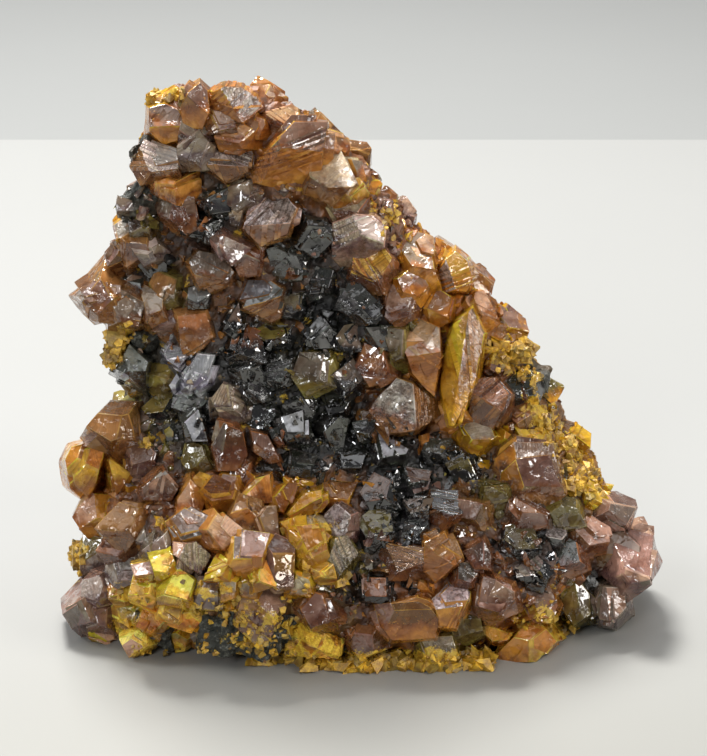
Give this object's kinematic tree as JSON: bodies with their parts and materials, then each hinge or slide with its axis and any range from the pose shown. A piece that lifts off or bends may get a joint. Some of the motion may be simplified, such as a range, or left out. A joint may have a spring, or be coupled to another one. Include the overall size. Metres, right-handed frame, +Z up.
{
  "type": "orpiment specimen",
  "caption": "Hand specimen of orpiment: stubby, slanted amber-brown crystals grown together over the front of a dark broken host rock, standing on a flat base.",
  "frame": {"origin": "on the flat base, under the middle of the rock", "axes": "+Z up, +X to the right when the crystal-covered front is looked at, -Y out of that front"},
  "size_m": [0.1003, 0.0518, 0.0889],
  "materials": {
    "host_rock": "matte, dark, broken",
    "orpiment": "resinous to adamantine, amber-brown, slightly translucent"
  },
  "bodies": {
    "root": {"host_rock": "host_rock", "orpiment_crystals": "orpiment"}
  },
  "joints": []
}
